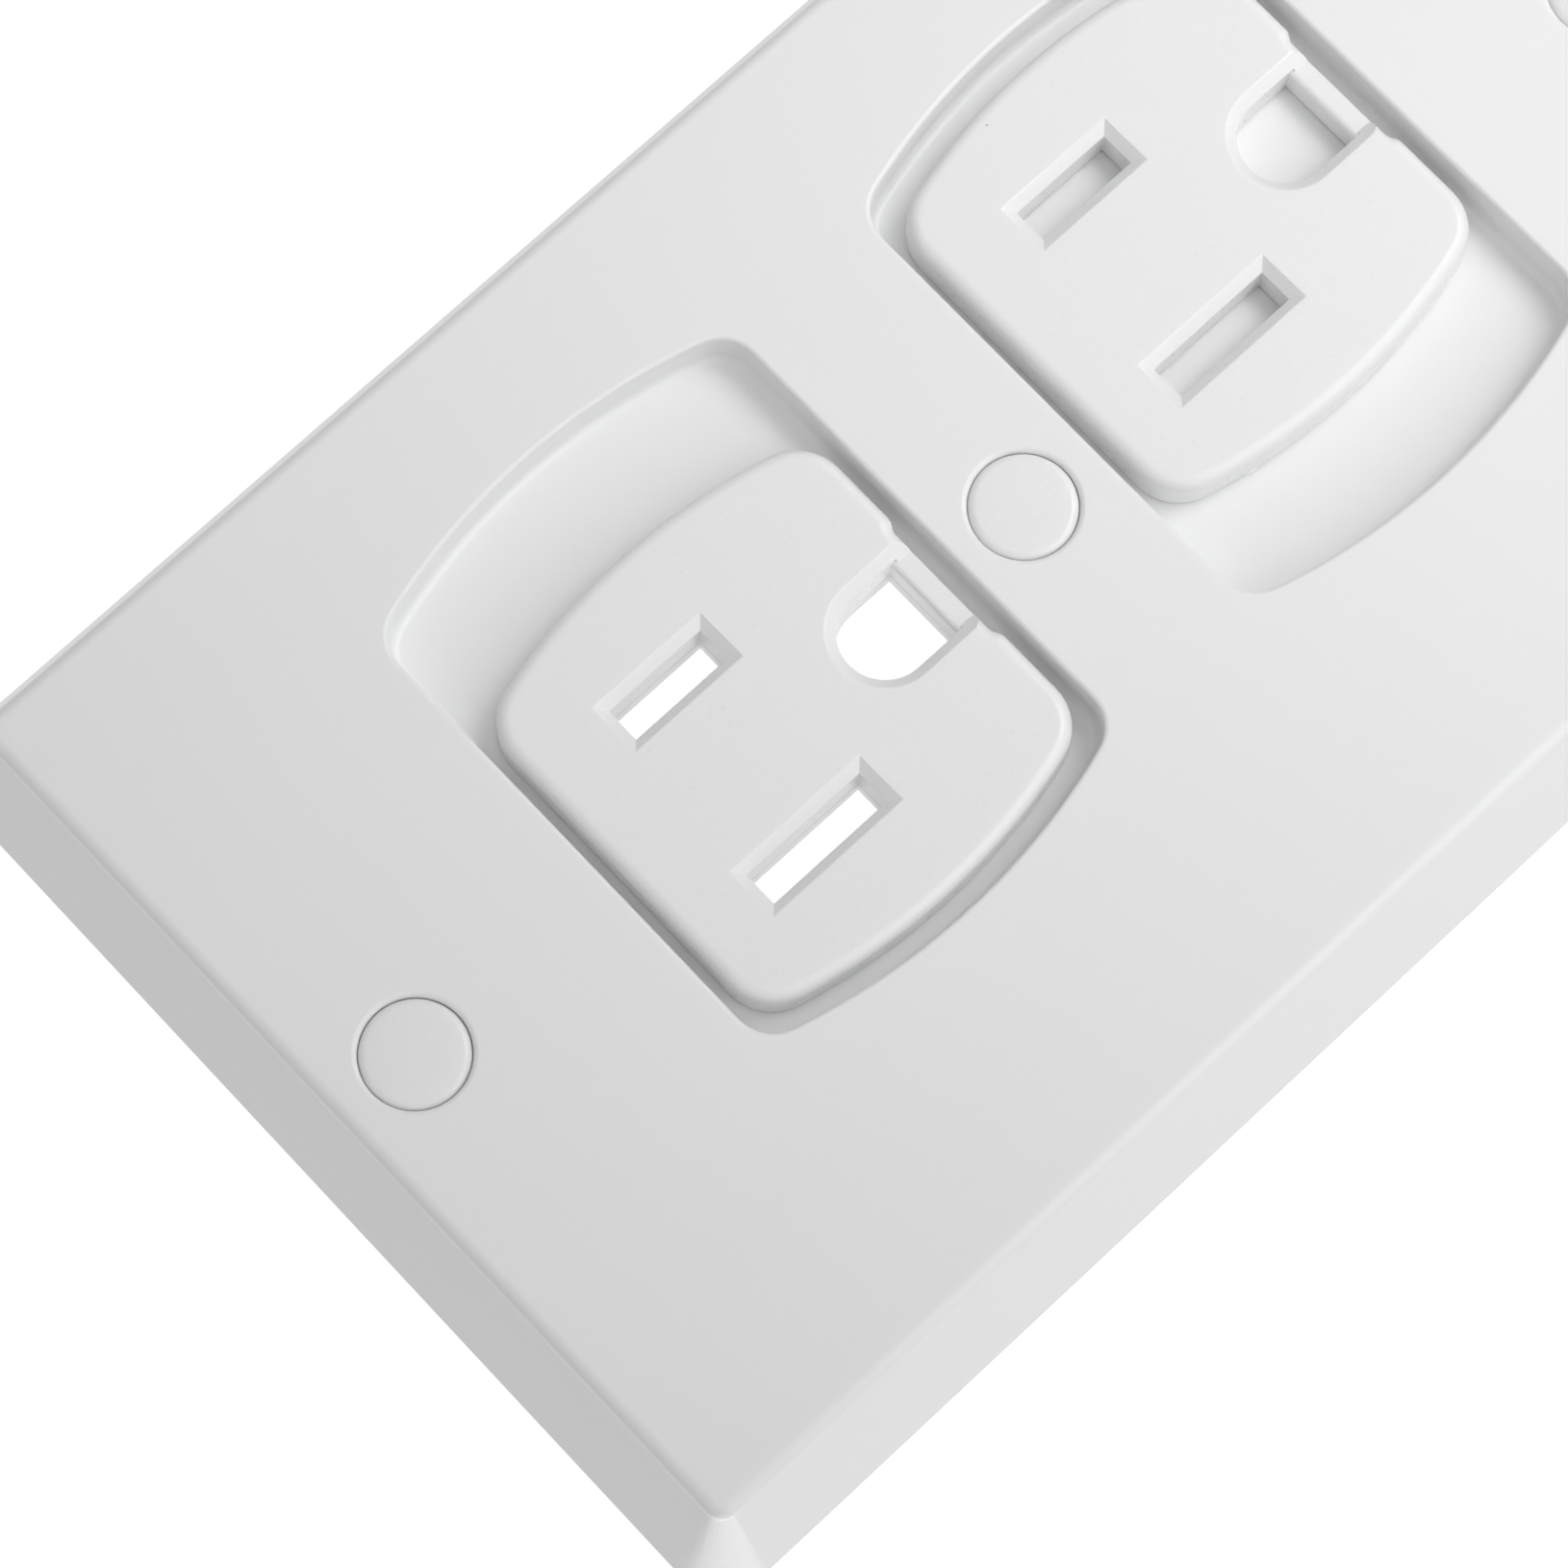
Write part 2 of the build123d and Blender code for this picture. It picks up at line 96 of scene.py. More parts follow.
@dataclass(frozen=True)
class Outline:
    """Closed outline in the plane of the face, counter-clockwise as seen from the front, in millimetres.

    Attributes:
        points: Rows of x and z.
        out: The move of each point when the outline grows by one; at a sharp corner it is the mitre.
    """

    points: Array
    out: Array

    @classmethod
    def of(cls, *parts: tuple[Array, Array]) -> "Outline":
        """Join stretches of points and growth vectors into one outline."""
        points, out = (np.concatenate(rows) for rows in zip(*parts))
        return cls(points, out)

    def grown(self, by: float) -> Array:
        """Points of the outline moved outwards by a distance."""
        return self.points + by * self.out

    def moved(self, x: float, z: float) -> "Outline":
        """The same outline at another place."""
        return Outline(self.points + np.array([x, z]), self.out)


def arc(
    centre: tuple[float, float],
    radius: float,
    start: float,
    end: float,
    steps: int = ARC_STEPS,
    hollow: bool = False,
) -> tuple[Array, Array]:
    """Arc as points and growth vectors: centre + radius * (cos a, sin a).

    Args:
        centre: Centre, x and z.
        radius: Radius of the arc.
        start: First angle in degrees, from x towards z.
        end: Last angle in degrees.
        steps: Number of chords.
        hollow: Whether the outline lies outside the circle, so that it grows towards the centre.

    Returns:
        Points of the arc and their growth vectors.
    """
    angle = np.radians(np.linspace(start, end, steps + 1))
    ray = np.stack([np.cos(angle), np.sin(angle)], axis=1)
    return np.array(centre) + radius * ray, -ray if hollow else ray


def corners(rows: Sequence[tuple[float, float, float, float]]) -> tuple[Array, Array]:
    """Sharp corners, each given as x, z and its growth vector."""
    table = np.array(rows)
    return table[:, :2], table[:, 2:]


def rectangle(width: float, height: float, radius: float = 0.0) -> Outline:
    """Rectangle about the origin, with round corners where a radius is given."""
    half_w, half_h = width / 2, height / 2
    if radius == 0:
        return Outline.of(
            corners(
                [
                    (half_w, -half_h, 1, -1),
                    (half_w, half_h, 1, 1),
                    (-half_w, half_h, -1, 1),
                    (-half_w, -half_h, -1, -1),
                ]
            )
        )
    x, z = half_w - radius, half_h - radius
    places = [(x, z), (-x, z), (-x, -z), (x, -z)]
    return Outline.of(*[arc(p, radius, 90 * k, 90 * (k + 1)) for k, p in enumerate(places)])


def disc(radius: float = 0.0, steps: int = 96) -> Outline:
    """Circle about the origin; with no radius, the growth of a profile is the radius."""
    points, out = arc((0, 0), radius, 0, 360, steps)
    return Outline(points[:-1], out[:-1])


def bowed(width: float, height: float, bow: float, corner: float, steps: int = 28) -> Outline:
    """Flat top and bottom with ends that are arcs of the bow's radius, and round corners.

    A corner's circle touches the flat side from inside and the bow from inside, so its centre lies
    bow - corner from the bow's centre.
    """
    bow_x = width / 2 - bow
    corner_z = height / 2 - corner
    corner_x = bow_x + math.sqrt((bow - corner) ** 2 - corner_z**2)
    turn = math.degrees(math.atan2(corner_z, corner_x - bow_x))
    parts = []
    for side in (0, 180):
        flip = 1 if side == 0 else -1
        low = arc((flip * corner_x, -flip * corner_z), corner, side - 90, side - turn)
        end = arc((flip * bow_x, 0), bow, side - turn, side + turn, steps)
        top = arc((flip * corner_x, flip * corner_z), corner, side + turn, side + 90)
        parts += [low, tuple(a[1:-1] for a in end), top]
    return Outline.of(*parts)


def profile(rows: Sequence[tuple[float, float, float]], steps: int = ARC_STEPS) -> Array:
    """Section of a wall: corners given by growth, depth and rounding, as rows of growth and depth.

    A rounding of radius r at a corner that turns by t starts and ends r * tan(t / 2) from the corner.
    Its points lie at centre + r * (cos a, sin a), with a swept evenly between the two tangent points.

    Args:
        rows: Growth, depth and rounding of each corner, from the front to the back.
        steps: Number of chords in each rounding.

    Returns:
        Rows of growth and depth with no point twice.
    """
    table = np.array(rows, float)
    stretches = [table[:1, :2]]
    for before, here, after in zip(table[:-2], table[1:-1], table[2:]):
        if here[2] == 0:
            stretches.append(here[None, :2])
            continue
        to_here = (here - before)[:2] / np.linalg.norm((here - before)[:2])
        to_next = (after - here)[:2] / np.linalg.norm((after - here)[:2])
        turn = math.atan2(np.cross(to_here, to_next), to_here @ to_next)
        reach = here[2] * math.tan(abs(turn) / 2)
        side = math.copysign(1.0, turn) * np.array([-to_here[1], to_here[0]])
        middle = here[:2] - reach * to_here + here[2] * side
        angle = np.linspace(0, abs(turn), steps + 1)[:, None]
        stretches.append(middle + here[2] * (np.sin(angle) * to_here - np.cos(angle) * side))
    stretches.append(table[-1:, :2])
    joined = np.concatenate(stretches)
    fresh = np.linalg.norm(np.diff(joined, axis=0), axis=1) > 1e-6
    return joined[np.concatenate([[True], fresh])]


def tangent(radius: float, turn: float) -> float:
    """Length that a rounding takes off each side of a corner that turns by an angle in degrees."""
    return radius * math.tan(math.radians(turn) / 2)


def ringed(name: str, rings: Array, turned: bool = False) -> bpy.types.Object:
    """Closed solid through rings with the same number of points.

    Point j of ring i becomes vertex i * n + j. Quads join neighbouring rings, and one flat face closes
    each end.

    Args:
        name: Name of the object.
        rings: Rings of points x, y and z, in millimetres.
        turned: Whether the faces run the other way round, for rings that turn the other way.

    Returns:
        The new object, in metres.
    """
    m, n = rings.shape[:2]
    i, j = np.meshgrid(np.arange(m - 1), np.arange(n), indexing="ij")
    k = (j + 1) % n
    quads = np.stack([i * n + j, (i + 1) * n + j, (i + 1) * n + k, i * n + k], axis=-1).reshape(-1, 4)
    ends = np.stack([np.arange(n), (m - 1) * n + np.arange(n)[::-1]])
    if turned:
        quads, ends = quads[:, [0, 3, 2, 1]], ends[:, ::-1]
    mesh = bpy.data.meshes.new(name)
    mesh.from_pydata(rings.reshape(-1, 3) * MM, [], [*ends.tolist(), *quads.tolist()])
    mesh.validate()
    made = bpy.data.objects.new(name, mesh)
    bpy.context.scene.collection.objects.link(made)
    return made


def lofted(name: str, sections: Sequence[tuple[Array, float]]) -> bpy.types.Object:
    """Closed solid through sections, from the front to the back.

    Args:
        name: Name of the object.
        sections: Points x and z, and depth from the face, of each section, in millimetres.

    Returns:
        The new object, with y = depth - plate depth, in metres.
    """
    flat = np.stack([points for points, _ in sections])
    depth = np.array([d for _, d in sections]) - CoverSizes.plate_depth
    y = np.broadcast_to(depth[:, None], flat.shape[:2])
    return ringed(name, np.stack([flat[..., 0], y, flat[..., 1]], axis=-1))


def swept(name: str, outline: Outline, section: Array) -> bpy.types.Object:
    """Closed solid of an outline that grows along a wall's section."""
    return lofted(name, [(outline.grown(growth), depth) for growth, depth in section])


def slab(name: str, outline: Outline, near: float, far: float) -> bpy.types.Object:
    """Closed solid of an outline between two depths."""
    return swept(name, outline, np.array([[0, near], [0, far]]))


def combine(body: bpy.types.Object, others: Sequence[bpy.types.Object], join: Join) -> bpy.types.Object:
    """Add other solids to a body or take them away from it, and remove them.

    Args:
        body: The solid that is kept.
        others: The solids that are used up.
        join: Whether they are added or taken away.

    Returns:
        The body with its new mesh.
    """
    for other in others:
        step = body.modifiers.new(other.name, "BOOLEAN")
        step.solver = "EXACT"
        step.operation = join.value
        step.object = other
    evaluated = body.evaluated_get(bpy.context.evaluated_depsgraph_get())
    mesh = bpy.data.meshes.new_from_object(evaluated)
    body.modifiers.clear()
    old, body.data = body.data, mesh
    mesh.name = body.name
    bpy.data.meshes.remove(old)
    for other in others:
        used = other.data
        bpy.data.objects.remove(other)
        bpy.data.meshes.remove(used)
    return body


def smooth(piece: bpy.types.Object) -> bpy.types.Object:
    """Shade a piece smooth up to the sharp angle, with each flat face keeping its own normal."""
    piece.data.shade_smooth()
    piece.data.set_sharp_from_angle(angle=SHARP_ANGLE)
    weighted = piece.modifiers.new("flat_faces_lead", "WEIGHTED_NORMAL")
    weighted.keep_sharp = True
    weighted.weight = 100
    return piece


@dataclass(frozen=True)
class CoverSizes:
    """Sizes that the plate and the shutters share, in millimetres."""

    plate_depth: float = 9.5
    unit_pitch: float = 38.9
    unit_drop: float = 0.12
    fixing_pitch: float = 96.84
    stroke: float = 6.15
    floor_front: float = 3.0
    floor_back: float = 4.4
    keeper_front: float = 4.55
    blade_pitch: float = 12.7
    blade_rise: float = 3.38
    slot_width: float = 2.32
    hot_length: float = 7.24
    neutral_length: float = 8.97
    floor_slot_cover: float = 0.3
    floor_slot_corner: float = 0.6
    ground_drop: float = 11.46
    ground_radius: float = 2.87
    ground_flat: float = 3.2
    stem: float = 2.2
    stem_offset: float = 4.85
    upper_stem_rise: float = 9.72
    lower_stem_drop: float = 2.72
    leg_offset: float = 9.9
    peg_reach: float = 17.5
    spring_rise: float = 17.05
    spring_depth: float = 3.15
    cap_radius: float = 3.31
    cap_gap: float = 0.05
    cap_thickness: float = 1.2
    cap_ledge: float = 0.36

    @property
    def ground_z(self) -> float:
        """Height of the ground hole's centre above the unit's centre."""
        return self.blade_rise - self.ground_drop

    @property
    def stems(self) -> tuple[tuple[float, float], ...]:
        """Places of the two stems of an open shutter."""
        return ((0.0, self.upper_stem_rise), (self.stem_offset, -self.lower_stem_drop))

    def blades(self) -> list[Outline]:
        """Neutral and hot slot, left and right of the unit's centre."""
        lengths = {-1: self.neutral_length, 1: self.hot_length}
        return [
            rectangle(self.slot_width, length).moved(side * self.blade_pitch / 2, self.blade_rise)
            for side, length in lengths.items()
        ]

    def floor_blades(self) -> list[Outline]:
        """Slots in a floor, narrower on the left than the shutter's and round at the upper left."""
        right, r = self.slot_width / 2, self.floor_slot_corner
        left = self.floor_slot_cover - right
        made = []
        for side, length in ((-1, self.neutral_length), (1, self.hot_length)):
            top = length / 2
            shape = Outline.of(
                corners([(left, -top, -1, -1), (right, -top, 1, -1), (right, top, 1, 1)]),
                arc((left + r, top - r), r, 90, 180),
            )
            made.append(shape.moved(side * self.blade_pitch / 2, self.blade_rise))
        return made

    def ground(self) -> Outline:
        """D shape: an arc above, straight sides and a flat foot."""
        r, foot = self.ground_radius, -self.ground_flat
        shape = Outline.of(arc((0, 0), r, 0, 180, 32), corners([(-r, foot, -1, -1), (r, foot, 1, -1)]))
        return shape.moved(0, self.ground_z)


SIZES = CoverSizes()


class Unit(Enum):
    """The two units: body, height of the centre and how far the shutter stands from open."""

    UPPER = (Body.UPPER, SIZES.unit_pitch / 2 - SIZES.unit_drop, 0.0)
    LOWER = (Body.LOWER, -SIZES.unit_pitch / 2 - SIZES.unit_drop, SIZES.stroke)

    @property
    def body(self) -> Body:
        """Body of the unit's shutter."""
        return self.value[0]

    @property
    def z(self) -> float:
        """Height of the unit's centre."""
        return self.value[1]

    @property
    def shift(self) -> float:
        """Distance of the shutter at rest from its open place, to the right."""
        return self.value[2]

    def node(self, piece: str) -> str:
        """Name of a CAD node of this unit."""
        return f"{self.name.lower()}_{piece}"


class Fixing(Enum):
    """Heights of the fixing holes."""

    TOP = SIZES.fixing_pitch / 2
    CENTRE = 0.0
    BOTTOM = -SIZES.fixing_pitch / 2


def effect_group(name: str, inputs: dict[str, str], outputs: dict[str, str]) -> bpy.types.NodeTree:
    """Empty shader node group with named sockets.

    Args:
        name: Name of the group.
        inputs: Socket type of each input.
        outputs: Socket type of each output.

    Returns:
        The group, with its input and output nodes in place.
    """
    group = bpy.data.node_groups.new(name, "ShaderNodeTree")
    for direction, sockets in (("INPUT", inputs), ("OUTPUT", outputs)):
        for label, kind in sockets.items():
            group.interface.new_socket(name=label, in_out=direction, socket_type=kind)
    group.nodes.new("NodeGroupInput")
    group.nodes.new("NodeGroupOutput")
    return group


class NodeBench:
    """Places nodes in a tree and links them."""

    def __init__(self, tree: bpy.types.NodeTree) -> None:
        """Start on a tree."""
        self.tree = tree

    def add(self, kind: str, **settings: object) -> bpy.types.Node:
        """Add a node and set its properties."""
        node = self.tree.nodes.new(kind)
        for key, value in settings.items():
            setattr(node, key, value)
        return node

    def link(self, source: bpy.types.NodeSocket, target: bpy.types.NodeSocket) -> None:
        """Link two sockets."""
        self.tree.links.new(source, target)

    def value(self, node: bpy.types.Node, **inputs: object) -> bpy.types.Node:
        """Set inputs of a node by name, with spaces written as underscores."""
        for key, value in inputs.items():
            node.inputs[key.replace("_", " ")].default_value = value
        return node

    def maths(self, operation: str, first: object, second: object) -> bpy.types.NodeSocket:
        """Math node of two values or sockets."""
        node = self.add("ShaderNodeMath", operation=operation)
        for slot, item in zip(node.inputs, (first, second)):
            if isinstance(item, bpy.types.NodeSocket):
                self.link(item, slot)
            else:
                slot.default_value = item
        return node.outputs[0]


# Patterns of the moulded surface: scales per metre, and sizes as shares of a pattern's cell.
FLOW_SCALE = 55.0
WAVE_SCALE = 260.0
WAVE_WEIGHT = 2.0
SPECK_SCALE = 210.0
SPECK_RADIUS = 0.015
SPECK_FREE_SHARE = 0.9


def moulded_surface() -> bpy.types.NodeTree:
    """Group with the look of injection-moulded plastic.

    Its height is a fine grain plus a slow waviness, its colour drifts a little with the flow of the melt,
    and a few dark specks lie in the surface. Everything is worked out from the object's own coordinates.

    Returns:
        The group, made on the first call.
    """
    found = bpy.data.node_groups.get("moulded_surface")
    if found:
        return found
    group = effect_group(
        "moulded_surface",
        {
            "Place": "NodeSocketVector",
            "Colour": "NodeSocketColor",
            "Speck Colour": "NodeSocketColor",
            "Grain Scale": "NodeSocketFloat",
            "Drift": "NodeSocketFloat",
            "Gloss": "NodeSocketFloat",
            "Gloss Spread": "NodeSocketFloat",
        },
        {"Colour": "NodeSocketColor", "Roughness": "NodeSocketFloat", "Height": "NodeSocketFloat"},
    )
    bench = NodeBench(group)
    given = group.nodes["Group Input"].outputs
    result = group.nodes["Group Output"].inputs
    grain = bench.value(bench.add("ShaderNodeTexNoise"), Detail=3.0, Roughness=0.6)
    bench.link(given["Place"], grain.inputs["Vector"])
    bench.link(given["Grain Scale"], grain.inputs["Scale"])
    flow = bench.value(bench.add("ShaderNodeTexNoise"), Scale=FLOW_SCALE, Detail=2.0, Roughness=0.5)
    bench.link(given["Place"], flow.inputs["Vector"])
    wave = bench.value(bench.add("ShaderNodeTexNoise"), Scale=WAVE_SCALE, Detail=1.0, Roughness=0.4)
    bench.link(given["Place"], wave.inputs["Vector"])
    speck = bench.value(bench.add("ShaderNodeTexVoronoi"), Scale=SPECK_SCALE, Randomness=1.0)
    bench.link(given["Place"], speck.inputs["Vector"])
    cell = bench.add("ShaderNodeSeparateColor")
    bench.link(speck.outputs["Color"], cell.inputs["Color"])
    chosen = bench.maths("GREATER_THAN", cell.outputs["Red"], SPECK_FREE_SHARE)
    near = bench.maths("LESS_THAN", speck.outputs["Distance"], SPECK_RADIUS)
    dot = bench.maths("MULTIPLY", near, chosen)
    drift = bench.maths("SUBTRACT", flow.outputs["Fac"], 0.5)
    drift = bench.maths("MULTIPLY", drift, given["Drift"])
    drift = bench.maths("ADD", drift, 1.0)
    toned = bench.add("ShaderNodeVectorMath", operation="SCALE")
    bench.link(given["Colour"], toned.inputs[0])
    bench.link(drift, toned.inputs["Scale"])
    speckled = bench.add("ShaderNodeMix", data_type="RGBA")
    bench.link(dot, speckled.inputs["Factor"])
    bench.link(toned.outputs[0], speckled.inputs["A"])
    bench.link(given["Speck Colour"], speckled.inputs["B"])
    bench.link(speckled.outputs["Result"], result["Colour"])
    patchy = bench.maths("SUBTRACT", grain.outputs["Fac"], 0.5)
    patchy = bench.maths("MULTIPLY", patchy, given["Gloss Spread"])
    bench.link(bench.maths("ADD", given["Gloss"], patchy), result["Roughness"])
    waves = bench.maths("MULTIPLY", wave.outputs["Fac"], WAVE_WEIGHT)
    bench.link(bench.maths("ADD", waves, grain.outputs["Fac"]), result["Height"])
    return group


@dataclass(frozen=True)
class Finish:
    """Finish of a piece: a material of this name, made on first use."""

    name: str

    def paint(self, bench: NodeBench, shader: bpy.types.Node) -> None:
        """Put the finish's nodes on the bench and feed the shader."""
        raise NotImplementedError

    def material(self) -> bpy.types.Material:
        """Make the material, or return it if it is there."""
        made = bpy.data.materials.get(self.name)
        if made is None:
            made = bpy.data.materials.new(self.name)
            made.use_nodes = True
            self.paint(NodeBench(made.node_tree), made.node_tree.nodes["Principled BSDF"])
        return made


@dataclass(frozen=True)
class MouldedPlastic(Finish):
    """White moulded plastic.

    Attributes:
        colour: Linear colour.
        roughness: Mean roughness of the surface.
        roughness_spread: How far the grain moves the roughness.
        grain_scale: Grains per metre.
        grain_depth: Depth of the grain in the bump, in metres.
        drift: Share by which the tone drifts.
        speck_colour: Linear colour of the specks.
        ior: Index of refraction.
    """

    colour: tuple[float, float, float] = (0.86, 0.862, 0.865)
    roughness: float = 0.3
    roughness_spread: float = 0.10
    grain_scale: float = 3600.0
    grain_depth: float = 0.0000008
    drift: float = 0.02
    speck_colour: tuple[float, float, float] = (0.42, 0.41, 0.40)
    ior: float = 1.49

    def paint(self, bench: NodeBench, shader: bpy.types.Node) -> None:
        """Feed the shader from the moulded surface, with its height as a bump."""
        place = bench.add("ShaderNodeTexCoord")
        surface = bench.add("ShaderNodeGroup", node_tree=moulded_surface())
        bench.link(place.outputs["Object"], surface.inputs["Place"])
        bench.value(
            surface,
            Colour=(*self.colour, 1.0),
            Speck_Colour=(*self.speck_colour, 1.0),
            Grain_Scale=self.grain_scale,
            Drift=self.drift,
            Gloss=self.roughness,
            Gloss_Spread=self.roughness_spread,
        )
        bump = bench.value(bench.add("ShaderNodeBump"), Strength=1.0, Distance=self.grain_depth)
        bench.link(surface.outputs["Colour"], shader.inputs["Base Color"])
        bench.link(surface.outputs["Roughness"], shader.inputs["Roughness"])
        bench.link(surface.outputs["Height"], bump.inputs["Height"])
        bench.link(bump.outputs["Normal"], shader.inputs["Normal"])
        bench.value(shader, IOR=self.ior)


@dataclass(frozen=True)
class DrawnSteel(Finish):
    """Bright steel with fine marks of drawing or turning.

    Attributes:
        colour: Linear colour between the marks.
        roughness: Mean roughness of the surface.
        roughness_spread: How far the marks move the roughness.
        mark_scale: Marks per metre.
        mark_shade: Share of the colour that is left in a mark.
        mark_depth: Depth of the marks in the bump, in metres.
    """

    colour: tuple[float, float, float] = (0.62, 0.61, 0.59)
    roughness: float = 0.28
    roughness_spread: float = 0.2
    mark_scale: float = 5200.0
    mark_shade: float = 0.72
    mark_depth: float = 0.000002

    def paint(self, bench: NodeBench, shader: bpy.types.Node) -> None:
        """Feed the shader from a fine noise that darkens, roughens and engraves the metal."""
        place = bench.add("ShaderNodeTexCoord")
        marks = bench.value(bench.add("ShaderNodeTexNoise"), Scale=self.mark_scale, Detail=4.0, Roughness=0.7)
        bench.link(place.outputs["Object"], marks.inputs["Vector"])
        tint = bench.add("ShaderNodeMix", data_type="RGBA")
        tint.inputs["A"].default_value = (*(self.mark_shade * c for c in self.colour), 1.0)
        tint.inputs["B"].default_value = (*self.colour, 1.0)
        bench.link(marks.outputs["Fac"], tint.inputs["Factor"])
        bench.link(tint.outputs["Result"], shader.inputs["Base Color"])
        spread = bench.maths("MULTIPLY", marks.outputs["Fac"], self.roughness_spread)
        rough = bench.maths("ADD", spread, self.roughness - self.roughness_spread / 2)
        bench.link(rough, shader.inputs["Roughness"])
        bump = bench.value(bench.add("ShaderNodeBump"), Strength=1.0, Distance=self.mark_depth)
        bench.link(marks.outputs["Fac"], bump.inputs["Height"])
        bench.link(bump.outputs["Normal"], shader.inputs["Normal"])
        bench.value(shader, Metallic=1.0)


PLATE_FINISH = MouldedPlastic("plate_plastic_satin")
SHUTTER_FINISH = MouldedPlastic("shutter_plastic_satin", roughness=0.29)
CAP_FINISH = MouldedPlastic("cap_plastic_gloss", roughness=0.26)
KEEPER_FINISH = MouldedPlastic("keeper_plastic_matte", colour=(0.76, 0.765, 0.77), roughness=0.42)
SCREW_FINISH = DrawnSteel("screw_steel_bright")
SPRING_FINISH = DrawnSteel("spring_steel_drawn", colour=(0.56, 0.56, 0.56), roughness=0.24)


def dress(piece: bpy.types.Object, finish: Finish, replaced: str) -> bpy.types.Object:
    """Give a new piece its finish and hide the CAD node that it stands for."""
    piece.data.materials.clear()
    piece.data.materials.append(finish.material())
    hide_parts(replaced)
    return piece


def dress_node(name: str, finish: Finish) -> None:
    """Give a CAD node that stays in view a better material."""
    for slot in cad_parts[name].material_slots:
        slot.material = finish.material()
    log.info("dressed %s", name)


@dataclass(frozen=True)
class FacePlate:
    """Face plate: raised face, drafted flange, two recess tubs with slotted floors, bosses, ribs and pegs."""

    face_width: float = 63.9
    face_height: float = 108.4
    face_corner: float = 1.2
    face_raise: float = 1.0
    edge_round: float = 0.9
    face_wall: float = 1.8
    flange_wall: float = 1.8
    flange_spread: float = 2.75
    back_land: float = 0.5
    back_round: float = 0.2
    recess_width: float = 37.7
    recess_height: float = 28.2
    recess_bow: float = 42.8
    recess_corner: float = 2.6
    recess_shift: float = 3.35
    rim_round: float = 0.3
    floor_round: float = 0.6
    tub_wall: float = 1.2
    guide_gap: float = 0.1
    slot_ease: float = 0.08
    seat_round: float = 0.35
    head_pocket_depth: float = 4.4
    hole_radius: float = 1.95
    boss_wall: float = 1.3
    boss_floor: float = 1.1
    rib_wall: float = 1.1
    peg_shoulder: float = 1.25
    peg_radius: float = 0.55
    peg_barb: float = 0.16

    def shell(self) -> bpy.types.Object:
        """Raised face and drafted flange, hollow from behind."""
        face = rectangle(self.face_width, self.face_height, self.face_corner)
        depth, spread = SIZES.plate_depth, self.flange_spread
        land = depth - self.back_land
        section = profile(
            [
                (-self.edge_round, 0, 0),
                (0, 0, self.edge_round),
                (0, self.face_raise, 0),
                (spread, land, 0),
                (spread, depth, self.back_round),
                (spread - self.flange_wall, depth, 0),
            ]
        )
        body = swept("plate_moulding", face, section)
        lead = spread * (self.face_wall - self.face_raise) / (land - self.face_raise)
        inside = [(lead - self.flange_wall, self.face_wall)]
        inside += [(spread - self.flange_wall, level) for level in (land, depth + CUT)]
        rings = [
            rectangle(
                self.face_width + 2 * growth,
                self.face_height + 2 * growth,
                max(self.face_corner + growth, self.face_corner),
            )
            for growth, _ in inside
        ]
        hollow = lofted("hollow", [(ring.points, level) for ring, (_, level) in zip(rings, inside)])
        return combine(body, [hollow], Join.TAKE)

    def recess_outline(self, unit: Unit) -> Outline:
        """Outline of the recess in the face."""
        shape = bowed(self.recess_width, self.recess_height, self.recess_bow, self.recess_corner)
        return shape.moved(self.recess_shift, unit.z)

    def structure(self) -> list[bpy.types.Object]:
        """Ribs, tubs, bosses and spring pegs on the back of the face."""
        start = self.face_wall / 2
        rib = rectangle(self.face_width - 2 * self.edge_round, self.rib_wall)
        levels = [Fixing.TOP.value, Fixing.BOTTOM.value] + [unit.z for unit in Unit]
        made = [slab("rib", rib.moved(0, z), start, SIZES.floor_back) for z in levels]
        for unit in Unit:
            wall = Outline(self.recess_outline(unit).grown(self.tub_wall), self.recess_outline(unit).out)
            made.append(slab("tub", wall, start, SIZES.floor_back))
            made.append(self.peg(unit, start))
        boss_radius = SIZES.cap_radius + SIZES.cap_gap + self.boss_wall
        boss_end = self.head_pocket_depth + self.boss_floor
        made += [slab("boss", disc(boss_radius).moved(0, f.value), start, boss_end) for f in Fixing]
        return made

    def peg(self, unit: Unit, start: float) -> bpy.types.Object:
        """Spring peg with a shoulder below the loop and a barbed tip above it."""
        place = disc(steps=32).moved(SIZES.leg_offset + SIZES.peg_reach, unit.z + SIZES.spring_rise)
        wire, coil = ReturnSpring.wire, ReturnSpring.coil
        shoulder, barb = SIZES.spring_depth - wire, SIZES.spring_depth + wire
        rows = [
            (self.peg_shoulder, start, 0),
            (self.peg_shoulder, shoulder, 0.1),
            (self.peg_radius, shoulder, 0),
            (self.peg_radius, barb, 0),
            (self.peg_radius + self.peg_barb, barb, 0),
            (self.peg_radius / 2, barb + coil / 2, 0),
        ]
        return swept("peg", place, profile(rows, 4))

    def recess(self, unit: Unit) -> bpy.types.Object:
        """Space of a recess, with its round rim and the round foot of its wall."""
        rim, foot, depth = self.rim_round, self.floor_round, SIZES.floor_front
        rows = [(rim, -CUT, 0), (rim, 0, 0), (0, 0, rim), (0, depth, foot), (-foot, depth, 0)]
        return swept("recess", self.recess_outline(unit), profile(rows))

